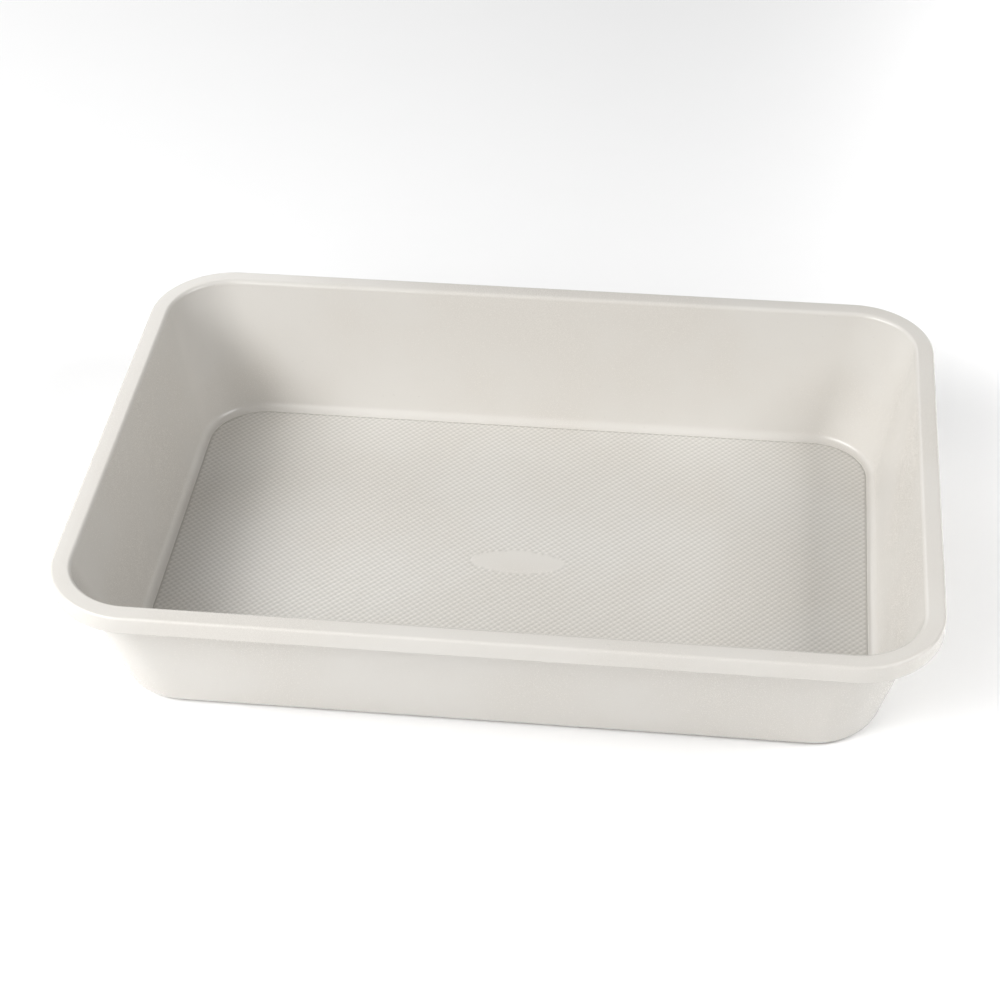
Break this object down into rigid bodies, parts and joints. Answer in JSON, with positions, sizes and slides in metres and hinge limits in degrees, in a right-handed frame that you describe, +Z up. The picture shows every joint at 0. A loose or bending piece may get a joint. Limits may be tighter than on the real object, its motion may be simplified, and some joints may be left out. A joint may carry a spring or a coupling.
{
  "type": "rectangular baking tray",
  "caption": "Open rectangular tray drawn from coated sheet steel, with sloping walls, rounded corners and a rolled rim stiffened by a wire, for baking, roasting or holding liquid.",
  "frame": {"origin": "on the ground plane, under the middle of the tray", "axes": "+X along the tray's length, +Y along its width towards the back, +Z up out of the open top"},
  "size_m": [0.356, 0.247, 0.063],
  "materials": {
    "ceramic_coating": "semi-gloss warm off-white ceramic coating on steel",
    "wire_steel": "drawn steel wire"
  },
  "bodies": {
    "root": {"tray_shell": "ceramic_coating", "rim_wire": "wire_steel"}
  },
  "joints": []
}
